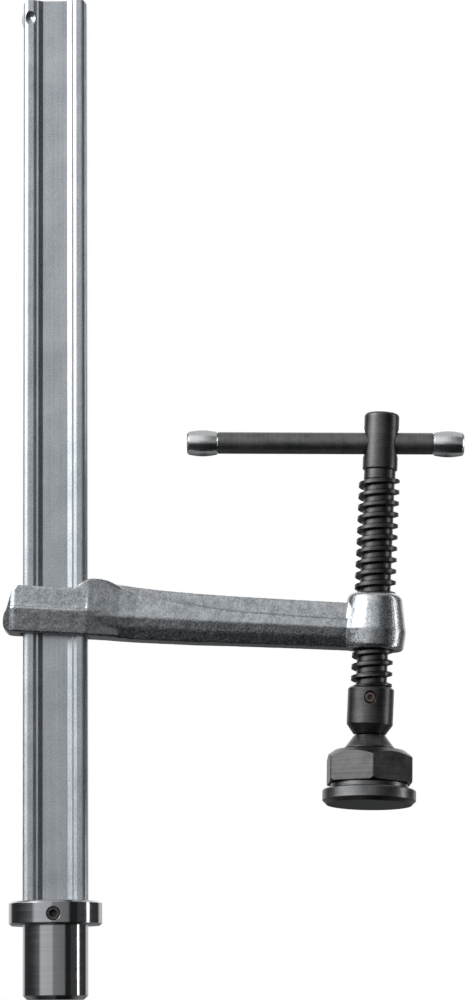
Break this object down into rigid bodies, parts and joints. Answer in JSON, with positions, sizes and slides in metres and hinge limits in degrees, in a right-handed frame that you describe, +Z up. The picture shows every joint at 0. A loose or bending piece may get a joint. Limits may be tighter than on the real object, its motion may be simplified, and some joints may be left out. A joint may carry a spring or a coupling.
{
  "type": "f clamp",
  "caption": "Screw clamp for a welding table: a round pin and collar carry a profiled rail, a sliding arm, a screw spindle with a T-bar and a tilting pressure pad.",
  "frame": {"origin": "on the table pin's axis, in the collar's underside, which rests on the table top", "axes": "+Z up along the rail, +X from the rail towards the spindle, -Y to the front"},
  "size_m": [0.2019, 0.042, 0.4415],
  "materials": {
    "zinc_rail": "zinc plated, grainy",
    "zinc_forging": "zinc plated forging",
    "turned_steel": "bright turned",
    "black_steel": "black oxide, oiled"
  },
  "bodies": {
    "base": {"rail": "zinc_rail", "table_pin": "turned_steel", "rail_dowel": "black_steel", "stop_collar": "turned_steel", "collar_grub_screw": "black_steel"},
    "arm": {"sliding_arm": "zinc_forging"},
    "swivel": {"socket_sleeve": "black_steel", "sleeve_grub_screw": "black_steel"},
    "spindle": {"spindle": "black_steel"},
    "handle": {"tommy_bar": "black_steel", "handle_cap_left": "turned_steel", "handle_cap_right": "turned_steel"},
    "pad": {"ball_stud": "black_steel", "hex_holder": "black_steel"},
    "plate": {"pressure_plate": "black_steel", "plate_snap_ring": "black_steel"}
  },
  "joints": [
    {"name": "arm_slide", "type": "slide", "parent": "base", "child": "arm", "axis": [0, 0, 1], "range_m": [-0.112, 0.245]},
    {"name": "spindle_spin", "type": "hinge", "parent": "swivel", "child": "spindle", "pos_m": [0.1383, 0, 0.12771], "axis": [0.0541, 0, 0.9985], "range_deg": [-3240, 936]},
    {"name": "spindle_feed", "type": "slide", "parent": "arm", "child": "swivel", "axis": [0.0541, 0, 0.9985], "range_m": [-0.0451, 0.0131]},
    {"name": "handle_slide", "type": "slide", "parent": "spindle", "child": "handle", "axis": [0.9999, 0, -0.0122], "range_m": [-0.0135, 0.0615]},
    {"name": "pad_tilt", "type": "hinge", "parent": "swivel", "child": "pad", "pos_m": [0.13607, 0, 0.08657], "axis": [0, 1, 0], "range_deg": [-2.6, 6]},
    {"name": "plate_spin", "type": "hinge", "parent": "pad", "child": "plate", "pos_m": [0.13607, 0, 0.08657], "axis": [0.0244, 0.0523, 0.9983], "continuous": true}
  ],
  "couplings": [
    {"joint": "spindle_feed", "follows": "spindle_spin", "m_per_rad": 0.00079577}
  ]
}
